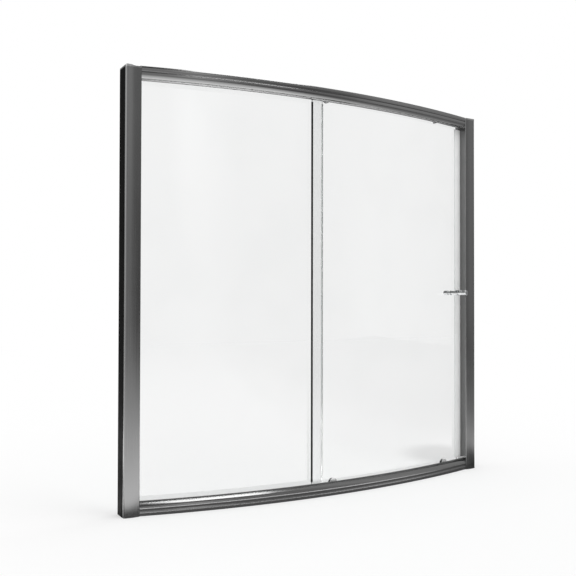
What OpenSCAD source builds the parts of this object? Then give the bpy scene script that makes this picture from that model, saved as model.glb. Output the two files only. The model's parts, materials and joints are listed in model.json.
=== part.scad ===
// Bowed sliding bathtub door. One glass panel is fixed, the other rolls along
// a curved header and a curved bottom track between two wall jambs.
// Z is up, the bath lies towards +Y and the bathroom towards -Y. The origin is
// the middle of the bottom track's underside.

/* [Opening] */
// Overall width, wall to wall
door_w = 1524; // [1400:1:1700]
// Overall height above the tub rim
door_h = 1473; // [1300:1:1600]
// How far the rails bow out between the jambs
bow = 86; // [70:1:100]

/* [Jambs] */
// Width of a jamb, seen from the front
jamb_w = 54; // [50:1:62]
// Depth of a jamb
jamb_d = 66; // [64:1:76]
// Wall thickness of the jamb extrusion
jamb_t = 1.8; // [1.2:0.1:2.4]
// Radius of the bowed front face of a jamb
jamb_face_r = 150; // [120:5:220]
// Distance of the front face's crown from the wall
jamb_crown = 36; // [30:1:44]
// Radius of the front corner at the wall
jamb_corner_r = 9; // [6:0.5:12]
// Radius of the front corner at the door
jamb_edge_r = 2.6; // [2.5:0.1:5]
// Depth of the closed front chamber of a jamb
chamber_d = 14; // [13:0.5:18]
// How far a jamb stands in front of the rail ends
jamb_proud = 2.7; // [1:0.1:5]
// Gap between the jamb extrusion and the wall
wall_gap = 1; // [0.5:0.1:3]
// Height of the cap on top of a jamb
cap_h = 8; // [5:0.5:12]
// How far a cap overhangs its jamb
cap_over = 0.6; // [0.2:0.1:1]
// Height of the reveal below a cap's lip
cap_reveal = 1.2; // [0.6:0.1:2]
// How far the top edges of a cap are broken
cap_break = 3; // [1:0.5:4]
// Depth of the cap's plug
plug_h = 12; // [6:1:20]

/* [Wall channels] */
// Thickness of the wall channel
channel_t = 2; // [1.5:0.1:3]
// Length of the wall channel's legs
channel_reach = 32; // [24:1:36]
// Play between the channel and the jamb that slides over it
channel_clear = 0.4; // [0.2:0.05:0.8]
// Diameter of the wall screw holes
wall_hole_d = 5.5; // [4:0.1:7]
// Distance between the lowest and the highest wall screw
wall_hole_span = 1170; // [900:3:1200]

/* [Rails] */
// Height of the header and of the bottom track
rail_h = 44; // [42:1:50]
// Wall thickness of the rail extrusion
rail_t = 1.8; // [1.4:0.1:2.2]
// Depth of the hollow front box of a rail
box_d = 22; // [20:0.5:23]
// Height of the plinth bead at the outer edge
plinth_h = 16; // [13:0.5:17]
// Radius of the plinth bead's face
plinth_r = 24; // [18:1:40]
// Width of the groove between plinth and nose
groove_w = 2; // [1:0.25:3]
// Depth of that groove
groove_d = 4.4; // [4:0.1:5.5]
// Radius of the nose below its crown
nose_r = 21; // [18:1:26]
// Radius of the rounded shoulder
shoulder_r = 21; // [17:0.5:21.5]
// Depth of the running rib behind the rail's front
rib_d = 27; // [26.6:0.1:27.2]
// Thickness of the running rib
rib_t = 1.6; // [1.2:0.1:2]
// Height of the running rib
rib_h = 2.5; // [2:0.1:3]
// Height of the ledge that carries the rib
ledge_z = 33; // [32:0.5:36]
// Height of the glazing pocket's web
pocket_z = 8; // [6:0.5:10]
// Height of the glazing pocket's front wall
pocket_h = 20; // [17:0.5:21]
// Height of the rail's rear wall
rear_h = 24; // [20:0.5:30]
// Distance of the header from the top of the jamb caps
header_drop = 0; // [0:0.5:4]
// Gap between a rail's end and the jamb
end_clear = 0.2; // [0.1:0.05:0.5]
// Width of the splash strip on the track's shelf
strip_w = 7; // [5:0.5:8]
// Height of the splash strip
strip_h = 1.2; // [0.8:0.1:2]

/* [Glass] */
// Thickness of both panels
glass_t = 5; // [4:0.5:6]
// Depth of the sliding panel's face behind the rail's front
slide_d = 33; // [33:0.1:34]
// Gap between the two panels
panel_gap = 9.2; // [9:0.1:12]
// Height of the sliding panel's lower edge
slide_z = 18; // [17:0.5:22]
// How far the sliding panel's free edge lies left of the middle, closed
slide_past = 81; // [60:1:110]
// Gap between the sliding panel's closing edge and the jamb, closed
close_gap = 17.9; // [15:0.1:24]
// Gap between the sliding panel's free edge and the jamb, open
open_gap = 20.9; // [16:0.1:40]
// How far the fixed panel's free edge lies left of the middle
fixed_past = 30.5; // [10:0.5:44]
// Thickness of the glazing gasket
gasket_t = 2; // [1.5:0.1:2.5]
// How far the gasket stands above its pocket
gasket_lip = 2; // [1:0.5:4]
// How far the fixed panel reaches into the left jamb
jamb_bite = 8; // [5:0.5:10]
// Play between glass and gasket
glass_clear = 0.05; // [0.02:0.01:0.15]

/* [Rollers] */
// Distance of the left top roller from the panel's free edge
top_left_in = 61; // [54:1:90]
// Distance of the right top roller from the panel's closing edge
top_right_in = 156; // [60:1:180]
// Distance of the left bottom roller from the panel's free edge
bottom_left_in = 91; // [70:1:120]
// Distance of the right bottom roller from the panel's closing edge
bottom_right_in = 99; // [60:1:140]
// Distance of a top roller's disc from the rail's outer edge
top_disc_z = 31.5; // [31:0.5:42]
// Diameter of a top roller's disc
top_disc_dia = 27; // [25:0.5:27]
// Distance of a bottom roller's disc from the rail's outer edge
disc_z = 40; // [39:0.5:42]
// Diameter of a bottom roller's disc
disc_dia = 31; // [28:0.5:34]
// Diameter of a wheel's flanges
wheel_dia = 23; // [22:0.1:23.2]
// Diameter at the bottom of a wheel's groove
groove_dia = 18; // [17.6:0.1:18.4]
// Width of a wheel
wheel_w = 5.6; // [5:0.1:6]
// Gap between a wheel's groove and its rib
run_gap = 0.3; // [0.2:0.05:0.5]
// Outside diameter of a wheel's bearing
bearing_od = 13; // [11:0.5:14]
// Diameter of a wheel's axle
axle_dia = 4; // [3:0.5:5]
// Radial play of an axle in its bearing
axle_play = 0.05; // [0.02:0.01:0.08]
// Gap between a wheel and the plate that carries it
side_gap = 0.4; // [0.3:0.05:0.6]
// Diameter of the top roller's glass hole
top_hole_dia = 13; // [12:0.5:15]
// Diameter of the top roller's boss
boss_dia = 8.4; // [7.6:0.1:9]
// Thickness of the washers on the glass
washer_t = 0.5; // [0.3:0.1:1]
// Thickness of the top roller's inner disc
clamp_t = 4.2; // [3.6:0.1:4.4]

/* [Quick release] */
// How far a bottom roller drops when released
release = 6; // [4:0.5:6.5]
// Diameter of the bottom roller's glass hole
bottom_hole_dia = 20; // [19:0.5:22]
// Diameter of the carriage's stem
stem_dia = 9; // [8:0.5:9.5]
// Play of the stem in its slot
stem_clear = 0.2; // [0.1:0.05:0.4]
// Depth of the guide housing behind the glass
housing_t = 6.9; // [6:0.1:7]
// Wire thickness of the return spring
wire_dia = 0.6; // [0.5:0.1:0.8]
// Outside diameter of the return spring
spring_dia = 4.9; // [4.4:0.1:5.2]
// Turns of the return spring
spring_turns = 5; // [4:1:6]
// Thickness of the release button
button_t = 1.3; // [1:0.1:1.4]
// Width of the release button
button_w = 18; // [14:1:22]

/* [Knob] */
// Distance of the knob from the panel's closing edge
knob_in = 41; // [32:1:80]
// Diameter of the outer knob
knob_dia = 23; // [20:0.5:28]
// Length of the outer knob
knob_len = 73; // [60:1:80]
// Length of the knob's flared neck
flare_len = 28; // [20:1:34]
// Diameter of the inner knob
inner_knob_dia = 19; // [16:0.5:24]
// Length of the inner knob
inner_knob_len = 34; // [28:1:40]
// Diameter of the stud that joins the knobs
stud_dia = 6; // [5:0.5:8]
// Diameter of the knob's glass hole
knob_hole_dia = 12; // [10:0.5:14]

/* [Seals and stops] */
// Thickness of the clear seals' walls
seal_t = 1; // [0.8:0.1:1.4]
// How far the closing seal grips the glass
seal_grip = 18; // [12:1:22]
// Width of the closing seal's magnet chamber
magnet_room = 8; // [7:0.5:9]
// Size of the magnet strips
magnet_w = 5; // [4:0.5:6]
// Gap between the closing seal and the strike
strike_gap = 0.6; // [0.3:0.1:1]
// Distance of the closing seal's ends from the rails
seal_end = 4; // [1:0.5:12]
// Play between a seal and the glass or magnet that it holds
seal_clear = 0.1; // [0.05:0.01:0.2]
// Thickness of the strike profile's front wall
strike_t = 1.6; // [1.2:0.1:2]
// How far the meeting trim grips the glass
trim_grip = 4; // [3:0.5:12]
// How far the overlap fin grips the fixed glass
fin_grip = 4; // [3:0.5:12]
// Gap between the overlap fin's tip and the sliding glass
fin_gap = 0.5; // [0.3:0.1:1]
// Length of the end blocks in the rails
block_len = 40; // [30:1:50]
// Thickness of the end blocks' stop wall
stop_wall = 12; // [10:0.5:13]
// Diameter of the rubber bumpers
bumper_dia = 10; // [8:0.5:11]
// Gap left at a bumper when the door stands on it
stop_gap = 0.5; // [0.3:0.1:1]

/* [Screws] */
// Diameter of the screws
screw_dia = 4; // [3.5:0.1:4.5]
// Diameter of the screw heads
head_dia = 7.6; // [7:0.1:8.5]
// Height of the screw heads
head_h = 2.4; // [2:0.1:3]
// Length of the corner screws
corner_screw_len = 20; // [16:1:24]
// Distance of the outer jamb screws from the jamb's middle
jamb_screw_step = 440; // [300:5:560]

/* [Hidden] */
$fn = 64;
arc_fn = 720;
disc_flats = 120;
// How far a corner's round stands over the faces that it blends
corner_lap = 0.02;
tiny = 0.01;

half_span = door_w / 2 - jamb_w;
rail_r = (half_span^2 + bow^2) / (2 * bow);
fixed_d = slide_d + glass_t + panel_gap;
pocket_front = fixed_d - gasket_t - rail_t;
rail_d = fixed_d + glass_t + gasket_t + rail_t;
arc_y = rail_r - rail_d / 2;
rail_top = door_h - header_drop;
jamb_top = door_h - cap_h;
jamb_y = bow - rail_d / 2 - jamb_proud;
mid_z = door_h / 2;

rail_y = function(d, x) arc_y - sqrt((rail_r - d)^2 - x^2);
edge_x = function(d, a) (rail_r - d) * sin(a);

// Angle of a place at depth d and distance x from the middle
angle_at = function(d, x) asin(x / (rail_r - d));

// Angle that a length takes up along the running ribs
angle_of = function(len) len / (rail_r - rib_d) * 180 / PI;

slide_a0 = -angle_at(slide_d, slide_past);
slide_a1 = angle_at(slide_d, half_span - close_gap);
travel_a = slide_a0 + angle_at(slide_d, half_span - open_gap);
fixed_a1 = -angle_at(fixed_d, fixed_past);
top_roller_a = [slide_a0 + angle_of(top_left_in), slide_a1 - angle_of(top_right_in)];
bottom_roller_a = [slide_a0 + angle_of(bottom_left_in), slide_a1 - angle_of(bottom_right_in)];
knob_a = slide_a1 - angle_of(knob_in);

plinth_sag = plinth_r - sqrt(plinth_r^2 - (plinth_h / 2)^2);
nose_z = rail_h - shoulder_r;
wheel_z = ledge_z - rib_h - run_gap - groove_dia / 2;
wheel_face = rib_d + wheel_w / 2;
plate_d = wheel_face + side_gap;
head_t = 0.8;

side_pocket_0 = rail_y(fixed_d, half_span) - jamb_y - gasket_t;
side_pocket_1 = rail_y(fixed_d + glass_t, half_span + jamb_bite) - jamb_y + gasket_t;
side_pocket_depth = jamb_bite + gasket_t;

inner_d = slide_d + glass_t + disc_dia^2 / (8 * (rail_r - slide_d));

slot_top = disc_z + stem_dia / 2 + stem_clear;
slot_low = disc_z - release - stem_dia / 2 - stem_clear;
guide_z = (slot_top + slot_low) / 2;
housing_back = inner_d + washer_t + housing_t;
stem_end = housing_back + 0.1;
spring_floor = guide_z - disc_dia / 2 + 1.4;
spring_y = inner_d + washer_t + housing_t / 2;

dark = [0.30, 0.30, 0.31];
darker = [0.18, 0.18, 0.19];
clear = [0.86, 0.93, 0.92, 0.35];
bright = [0.82, 0.83, 0.84];
rubber = [0.08, 0.08, 0.08];
nylon = [0.92, 0.92, 0.90];

// Placing helpers

// A place on the bow: x runs along it, y into the bath, z up
module at_angle(a) {
    translate([0, arc_y, 0]) rotate([0, 0, a]) translate([0, -rail_r, 0]) children();
}

// The same section hung from the header
module from_top() {
    translate([0, 0, rail_top]) mirror([0, 0, 1]) children();
}

// A section drawn as depth and height, swept along the bow between two angles
module swept(a0, a1) {
    translate([0, arc_y, 0]) rotate([0, 0, a0 - 90])
        rotate_extrude(angle = a1 - a0, $fn = arc_fn)
            translate([rail_r, 0]) mirror([1, 0]) children();
}

// What lies between two X planes
module slab(x0, x1) {
    intersection() {
        children();
        translate([x0, -rail_r, -1]) cube([x1 - x0, 2 * rail_r, door_h + 2]);
    }
}

module on_right() {
    mirror([1, 0, 0]) children();
}

// A plan section raised on the left jamb: x from the wall, y from the crown
module at_jamb(z0, z1) {
    translate([-door_w / 2, jamb_y, z0]) linear_extrude(z1 - z0) children();
}

// A round pin along the depth
module pin(dia, y0, y1) {
    translate([0, y0, 0]) rotate([-90, 0, 0]) cylinder(d = dia, h = y1 - y0);
}

// A vertical slot along the depth
module slot(dia, z0, z1, y0, y1) {
    translate([0, 0, z0]) pin(dia, y0, y1);
    translate([0, 0, z1]) pin(dia, y0, y1);
    translate([-dia / 2, y0, z0]) cube([dia, y1 - y0, z1 - z0]);
}

// Jambs

// A rectangle with a bowed front and two rounded front corners
module bowed_outline(w, d, face_r, crown, wall_r, door_r) {
    difference() {
        intersection() {
            square([w, d]);
            translate([crown, face_r]) circle(face_r, $fn = 360);
        }
        corner_cut(wall_r, face_r, crown);
        translate([w, 0]) mirror([1, 0]) corner_cut(door_r, face_r, w - crown);
    }
    intersection() {
        square([w, d]);
        union() {
            corner_round(wall_r, face_r, crown);
            translate([w, 0]) mirror([1, 0]) corner_round(door_r, face_r, w - crown);
        }
    }
}

// Height of a corner round's centre, and the round itself just proud of its faces
corner_y = function(r, face_r, crown) face_r - sqrt((face_r - r)^2 - (crown - r)^2);

module corner_round(r, face_r, crown) {
    translate([r, corner_y(r, face_r, crown)]) circle(r + corner_lap);
}

module corner_cut(r, face_r, crown) {
    cy = corner_y(r, face_r, crown);
    k = face_r / (face_r - r);
    tx = crown + (r - crown) * k;
    ty = face_r + (cy - face_r) * k;
    polygon([[-1, -1], [-1, cy], [r, cy], [tx, ty], [tx, -1]]);
}

module jamb_outline(inset = 0) {
    translate([inset, inset])
        bowed_outline(jamb_w - 2 * inset, jamb_d - 2 * inset, jamb_face_r - inset,
            jamb_crown - inset, jamb_corner_r - inset, jamb_edge_r - inset);
}

module jamb_chamber(inset) {
    intersection() {
        jamb_outline(inset);
        square([jamb_w, chamber_d + jamb_t - inset]);
    }
}

module jamb_section() {
    difference() {
        jamb_outline();
        jamb_chamber(jamb_t);
        translate([-1, chamber_d + jamb_t])
            square([jamb_w - jamb_t + 1, jamb_d - chamber_d - 2 * jamb_t]);
        translate([-1, -1]) square([wall_gap + 1, jamb_d + 2]);
    }
}

module jamb_post() {
    color(dark) difference() {
        at_jamb(0, jamb_top) jamb_section();
        jamb_screw_places() jamb_screw_hole();
        corner_screw_places() corner_screw_hole();
    }
}

module glazed_jamb_post() {
    color(dark) difference() {
        at_jamb(0, jamb_top) difference() {
            union() {
                jamb_section();
                translate([jamb_w - side_pocket_depth - jamb_t, side_pocket_0 - jamb_t])
                    square([side_pocket_depth + jamb_t,
                        side_pocket_1 - side_pocket_0 + 2 * jamb_t]);
            }
            translate([jamb_w - side_pocket_depth, side_pocket_0])
                square([side_pocket_depth + 1, side_pocket_1 - side_pocket_0]);
        }
        jamb_screw_places() jamb_screw_hole();
        corner_screw_places() corner_screw_hole();
    }
}

module jamb_post_left() { glazed_jamb_post(); }
module jamb_post_right() { on_right() jamb_post(); }

module over_the_post() {
    intersection() {
        children();
        translate([wall_gap, -cap_over])
            square([jamb_w - wall_gap, jamb_d + 2 * cap_over]);
    }
}

// Broken edge of a cap, drawn as width and height
module cap_crown(w) {
    h = cap_h - cap_reveal;
    polygon([[0, 0], [w, 0], [w, h - cap_break], [w - cap_break / 4, h - cap_break / 3],
        [w - cap_break, h], [cap_break, h], [cap_break / 4, h - cap_break / 3],
        [0, h - cap_break]]);
}

// A reveal, a lip that overhangs the post in front and behind, and a crown with
// broken edges; its side is flush with the post where the header meets it
module jamb_cap() {
    lip = jamb_top + cap_reveal;
    w = jamb_w - wall_gap;
    d = jamb_d + 2 * cap_over;
    color(darker) {
        at_jamb(jamb_top - plug_h, jamb_top + tiny) jamb_chamber(jamb_t + glass_clear);
        at_jamb(jamb_top, lip + tiny) over_the_post() jamb_outline(cap_over);
        intersection() {
            at_jamb(lip, door_h) over_the_post() jamb_outline(-cap_over);
            translate([-door_w / 2 + wall_gap, jamb_y + jamb_d + cap_over + 1, lip])
                rotate([90, 0, 0]) linear_extrude(d + 2) cap_crown(w);
            translate([-door_w / 2, jamb_y - cap_over, lip])
                rotate([90, 0, 90]) linear_extrude(jamb_w + 2 * cap_over) cap_crown(d);
        }
    }
}

module jamb_cap_left() { jamb_cap(); }
module jamb_cap_right() { on_right() jamb_cap(); }

// Wall channels

channel_v0 = chamber_d + jamb_t + channel_clear;
channel_v1 = jamb_d - jamb_t - channel_clear;

module wall_channel() {
    color(darker) difference() {
        at_jamb(0, jamb_top) difference() {
            translate([0, channel_v0]) square([channel_reach, channel_v1 - channel_v0]);
            translate([channel_t, channel_v0 + channel_t])
                square([channel_reach, channel_v1 - channel_v0 - 2 * channel_t]);
        }
        for (k = [-1, -1 / 3, 1 / 3, 1])
            translate([-door_w / 2 - 1, jamb_y + (channel_v0 + channel_v1) / 2,
                    mid_z + k * wall_hole_span / 2])
                rotate([0, 90, 0]) cylinder(d = wall_hole_d, h = channel_t + 2);
        jamb_screw_places() jamb_screw_hole();
    }
}

module wall_channel_left() { wall_channel(); }
module wall_channel_right() { on_right() wall_channel(); }

// Screws that lock a jamb on its channel, from the bath side

module jamb_screw_places() {
    for (k = [-1, 0, 1])
        translate([-door_w / 2 + channel_reach / 2, jamb_y + jamb_d,
                mid_z + k * jamb_screw_step])
            rotate([90, 0, 0]) children();
}

module jamb_screw_hole() {
    translate([0, 0, -1])
        cylinder(d = screw_dia + 2 * glass_clear, h = jamb_t + channel_clear + channel_t + 2);
}

module jamb_screw() {
    cylinder(d = screw_dia, h = jamb_t + channel_clear + channel_t + 3);
    difference() {
        translate([0, 0, -head_h]) cylinder(d = head_dia, h = head_h);
        translate([0, 0, -head_h - tiny]) cylinder(d = screw_dia / 2, h = head_h / 2, $fn = 6);
    }
}

module both_sides() {
    children();
    on_right() children();
}

module jamb_screws() {
    color(bright) both_sides() jamb_screw_places() jamb_screw();
}

module jamb_screw_caps() {
    cap_in = head_dia + 0.4;
    color(dark) both_sides() jamb_screw_places() rotate([180, 0, 0]) difference() {
        union() {
            cylinder(d = cap_in + 2, h = head_h + 0.2);
            translate([0, 0, head_h + 0.2]) cylinder(d1 = cap_in + 2, d2 = cap_in - 1, h = 1.2);
        }
        translate([0, 0, -1]) cylinder(d = cap_in, h = head_h + 1.2);
    }
}

// Header and bottom track

// A disc whose edge is a row of narrow flats, so that each swept face is an even band
module flat_sided_disc(r) {
    step = 360 / disc_flats;
    polygon([for (i = [0 : disc_flats - 1]) r * [cos(i * step), sin(i * step)]]);
}

module fascia_disc(r, inset) {
    if (inset == 0) {
        flat_sided_disc(r);
    } else {
        circle(r - inset, $fn = 180);
    }
}

// Front of a rail: plinth bead, groove, nose and rounded shoulder, all inset
module fascia(inset) {
    low = plinth_sag + inset;
    intersection() {
        translate([plinth_r, plinth_h / 2]) fascia_disc(plinth_r, inset);
        translate([0, inset]) square([box_d - inset, plinth_h - 2 * inset]);
    }
    translate([groove_d + inset, inset])
        square([box_d - groove_d - 2 * inset, nose_z - inset]);
    intersection() {
        translate([nose_r, nose_z]) fascia_disc(nose_r, inset);
        translate([0, plinth_h + groove_w + inset])
            square([box_d - inset, nose_z - plinth_h - groove_w - inset]);
    }
    intersection() {
        union() {
            intersection() {
                translate([shoulder_r, nose_z]) fascia_disc(shoulder_r, inset);
                translate([0, nose_z]) square(shoulder_r);
            }
            translate([shoulder_r, nose_z]) square([box_d, shoulder_r - inset]);
        }
        square([box_d - inset, rail_h]);
    }
}

module rail_section() {
    difference() {
        fascia(0);
        fascia(rail_t);
    }
    // Ledge and running rib
    translate([box_d - tiny, ledge_z]) square([rib_d + rib_t / 2 - box_d + tiny, rail_t]);
    translate([rib_d - rib_t / 2, ledge_z - rib_h]) square([rib_t, rib_h + tiny]);
    // Floor, glazing pocket and rear wall
    translate([box_d - tiny, 0]) square([rail_d - box_d + tiny, rail_t]);
    translate([pocket_front, 0]) square([rail_t, pocket_h]);
    translate([pocket_front, pocket_z - rail_t]) square([rail_d - pocket_front, rail_t]);
    translate([rail_d - rail_t, 0]) square([rail_t, rear_h]);
}

sweep_a = asin(half_span / (rail_r - rail_d)) + 0.3;

module rail() {
    slab(-half_span + end_clear, half_span - end_clear)
        swept(-sweep_a, sweep_a) rail_section();
}

module bottom_track() {
    color(dark) difference() {
        rail();
        rail_screw_places() rail_screw_hole();
    }
}

module header_rail() {
    color(dark) from_top() difference() {
        rail();
        rail_screw_places() rail_screw_hole();
    }
}

// The strip's underside follows the track's shoulder
module splash_strip() {
    color(rubber) slab(-half_span + end_clear, half_span - end_clear)
        swept(-sweep_a, sweep_a) difference() {
            translate([box_d - strip_w, nose_z]) square([strip_w, rail_h + strip_h - nose_z]);
            fascia(-glass_clear);
        }
}

// End blocks, their screws and the bumpers

block_front = box_d + 0.3;
block_back = pocket_front - 0.3;
block_top = slide_z - 2;
stop_top = ledge_z - rib_h - 0.3;

module end_block() {
    difference() {
        union() {
            slab(half_span - block_len, half_span - end_clear)
                swept(sweep_a - 4, sweep_a)
                    translate([block_front, rail_t]) square([block_back - block_front,
                        block_top - rail_t]);
            slab(half_span - stop_wall, half_span - end_clear)
                swept(sweep_a - 4, sweep_a)
                    translate([block_front, block_top - tiny])
                        square([block_back - block_front, stop_top - block_top + tiny]);
        }
        on_right() corner_screw_pair() corner_screw_hole();
        rail_screw_place() rail_screw_hole();
    }
}

module four_corners() {
    both_sides() {
        children();
        from_top() children();
    }
}

module end_blocks() { color(nylon) four_corners() end_block(); }

corner_slope = half_span / sqrt(rail_r^2 - half_span^2);
corner_edge = screw_dia / 2 + 1.5;
corner_z = block_top - corner_edge;
corner_depth = [block_front + corner_edge,
    block_back - corner_edge - corner_screw_len * corner_slope];

// Screws at the left end of the track, along X, heads inside the jamb
module corner_screw_pair() {
    for (d = corner_depth)
        translate([-half_span - jamb_t, rail_y(d, half_span), corner_z])
            rotate([0, 90, 0]) children();
}

module corner_screw_places() {
    corner_screw_pair() children();
    from_top() corner_screw_pair() children();
}

module corner_screw_hole() {
    translate([0, 0, -1]) cylinder(d = screw_dia + 2 * glass_clear, h = corner_screw_len + 1.5);
}

module corner_screw() {
    cylinder(d = screw_dia, h = corner_screw_len);
    difference() {
        translate([0, 0, -head_h]) cylinder(d = head_dia, h = head_h);
        translate([0, 0, -head_h - tiny]) cylinder(d = screw_dia / 2, h = head_h / 2, $fn = 6);
    }
}

module corner_screws() {
    color(bright) both_sides() corner_screw_places() corner_screw();
}

// One upright screw holds each end block in its rail
module rail_screw_place() {
    x = half_span - block_len * 0.65;
    translate([x, rail_y(rib_d, x), block_top]) children();
}

module rail_screw_places() {
    both_sides() rail_screw_place() children();
}

module rail_screw_hole() {
    translate([0, 0, -block_top - 1])
        cylinder(d = screw_dia + 2 * glass_clear, h = block_top + 2);
}

module rail_screw() {
    translate([0, 0, 0.2 - block_top]) cylinder(d = screw_dia, h = block_top - 0.2);
    translate([0, 0, 0]) cylinder(d1 = head_dia, d2 = screw_dia, h = head_h * 0.7);
}

module rail_screws() {
    color(bright) four_corners() rail_screw_place() rail_screw();
}

stop_x = half_span - stop_wall;
bumper_z = (slide_z + stop_top) / 2;
closed_reach = edge_x(slide_d, slide_a1);
open_reach = edge_x(slide_d, travel_a - slide_a0);

// A bumper at the right end that stops an edge at x
module bumper(x) {
    len = stop_x - x - stop_gap;
    translate([stop_x - len, rail_y(slide_d + glass_t / 2, stop_x), bumper_z])
        rotate([0, 90, 0]) cylinder(d = bumper_dia, h = len);
}

module stop_bumpers() {
    color(rubber) {
        bumper(closed_reach);
        from_top() bumper(closed_reach);
        on_right() bumper(open_reach);
        on_right() from_top() bumper(open_reach);
    }
}

// Fixed panel and its gaskets

fixed_a0 = -asin((half_span + jamb_bite) / (rail_r - fixed_d));
fixed_z = pocket_z + gasket_t;

module fixed_sheet(grow = 0) {
    swept(fixed_a0, fixed_a1 + (grow > 0 ? 1 : 0))
        translate([fixed_d - grow, fixed_z - grow])
            square([glass_t + 2 * grow, rail_top - 2 * fixed_z + 2 * grow]);
}

module fixed_glass() { color(clear) fixed_sheet(); }

module rail_gasket() {
    slab(-half_span + end_clear, half_span)
        swept(-sweep_a, fixed_a1)
            translate([fixed_d - gasket_t + glass_clear, pocket_z])
                difference() {
                    square([glass_t + 2 * gasket_t - 2 * glass_clear,
                        pocket_h + gasket_lip - pocket_z]);
                    translate([gasket_t - 2 * glass_clear, gasket_t - glass_clear])
                        square([glass_t + 2 * glass_clear, pocket_h]);
                }
}

module gasket_bottom() { color(rubber) rail_gasket(); }
module gasket_top() { color(rubber) from_top() rail_gasket(); }

module gasket_side() {
    color(rubber) difference() {
        at_jamb(fixed_z, rail_top - fixed_z)
            translate([jamb_w - side_pocket_depth + glass_clear, side_pocket_0 + glass_clear])
                square([side_pocket_depth - 2 * glass_clear,
                    side_pocket_1 - side_pocket_0 - 2 * glass_clear]);
        fixed_sheet(glass_clear);
    }
}

// Sliding panel

module sliding_glass() {
    color(clear) difference() {
        swept(slide_a0, slide_a1)
            translate([slide_d, slide_z]) square([glass_t, rail_top - 2 * slide_z]);
        for (a = top_roller_a)
            from_top() at_angle(a) translate([0, 0, top_disc_z])
                pin(top_hole_dia, slide_d - 1, slide_d + glass_t + 1);
        for (a = bottom_roller_a)
            at_angle(a) translate([0, 0, guide_z])
                pin(bottom_hole_dia, slide_d - 1, slide_d + glass_t + 1);
        at_angle(knob_a) translate([0, 0, mid_z])
            pin(knob_hole_dia, slide_d - 1, slide_d + glass_t + 1);
    }
}

seal_z0 = rail_h + seal_end;
seal_z1 = rail_top - rail_h - seal_end;
seal_out = slide_d - seal_t - seal_clear;
seal_in = slide_d + glass_t + seal_clear;
chamber_x = seal_t + seal_clear;

// A plan section raised along one edge of the sliding panel
module at_edge(a, z0, z1) {
    at_angle(a) translate([0, 0, z0]) linear_extrude(z1 - z0) children();
}

module closing_seal() {
    color(clear) at_edge(slide_a1, seal_z0, seal_z1) {
        translate([-seal_grip, seal_out]) square([seal_grip + chamber_x, seal_t]);
        translate([-seal_grip, seal_in]) square([seal_grip + chamber_x, seal_t]);
        difference() {
            translate([seal_clear, seal_out])
                square([seal_t + magnet_room, seal_in + seal_t - seal_out]);
            translate([chamber_x, seal_out + seal_t])
                square([magnet_room - seal_t, seal_in - seal_out - seal_t]);
        }
    }
}

module closing_magnet() {
    depth = seal_in - seal_out - seal_t - 2 * seal_clear;
    color(nylon) at_edge(slide_a1, seal_z0, seal_z1)
        translate([chamber_x + magnet_room - seal_t - magnet_w - seal_clear,
                seal_out + seal_t + seal_clear])
            square([magnet_w, depth]);
}

strike_x = seal_clear + seal_t + magnet_room + strike_gap;

module strike_profile() {
    color(nylon) slab(0, half_span) difference() {
        at_edge(slide_a1, seal_z0, seal_z1)
            translate([strike_x, seal_out]) square([close_gap, seal_in + seal_t - seal_out]);
        at_edge(slide_a1, seal_z0 - 1, seal_z1 + 1)
            translate([strike_x + strike_t, slide_d])
                square([magnet_w / 2 + 2 * seal_clear, glass_t]);
    }
}

module strike_magnet() {
    color(rubber) slab(0, half_span) at_edge(slide_a1, seal_z0, seal_z1)
        translate([strike_x + strike_t + seal_clear, slide_d + seal_clear])
            square([magnet_w / 2, glass_t - 2 * seal_clear]);
}

module meeting_trim() {
    color(dark) at_edge(slide_a0, seal_z0, seal_z1) difference() {
        translate([-chamber_x, seal_out]) square([trim_grip, seal_in + seal_t - seal_out]);
        translate([-seal_clear, seal_out + seal_t])
            square([trim_grip, seal_in - seal_out - seal_t]);
    }
}

// The fin on the fixed panel's free edge closes the gap to the sliding one. It
// starts above the bottom rollers' housings, which pass in front of it.
fin_z0 = guide_z + disc_dia / 2 + seal_end;

module overlap_fin() {
    front = fixed_d - seal_t - seal_clear;
    back = fixed_d + glass_t + seal_clear;
    tip = slide_d + glass_t + fin_gap;
    edge = chamber_x - fin_grip;
    color(clear) at_edge(fixed_a1, fin_z0, seal_z1) {
        difference() {
            translate([edge, front]) square([fin_grip, back + seal_t - front]);
            translate([edge - seal_t, front + seal_t])
                square([fin_grip, back - front - seal_t]);
        }
        polygon([[chamber_x - seal_t, front + tiny], [chamber_x, front + tiny],
            [edge + seal_t / 2, tip], [edge, tip]]);
    }
}

// Knob, turned about the depth axis; s is the distance from the glass

module turned() {
    rotate([-90, 0, 0]) rotate_extrude() children();
}

module knob_place() {
    at_angle(knob_a) translate([0, 0, mid_z]) children();
}

module outer_knob() {
    r = knob_dia / 2;
    ring = flare_len + 4;
    color(bright) knob_place() translate([0, slide_d - washer_t, 0]) mirror([0, 1, 0])
        turned() difference() {
            union() {
                square([r * 0.62, 1.6]);
                difference() {
                    square([r, flare_len]);
                    translate([r * 0.34 + flare_len * 0.9, flare_len * 0.12])
                        scale(flare_len * 0.9) circle(1, $fn = 128);
                    translate([r * 0.62, -1]) square([r, flare_len * 0.2]);
                }
                translate([0, flare_len - tiny]) square([r, ring - flare_len]);
                square([r * 0.7, ring + 4]);
                translate([0, ring + 3.5]) square([r * 0.92, knob_len - ring - 3.5 - 3]);
                translate([0, knob_len - 3 - tiny]) square([r * 0.92 - 3, 3]);
                translate([r * 0.92 - 3, knob_len - 3 - tiny]) circle(3);
            }
            translate([r * 0.92 + 2.2, (ring + knob_len) / 2]) circle(3);
            translate([-1, -1]) square([stud_dia / 2 + 0.1 + 1, flare_len + 1]);
            translate([-20, -1]) square([20, knob_len + 2]);
        }
}

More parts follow.
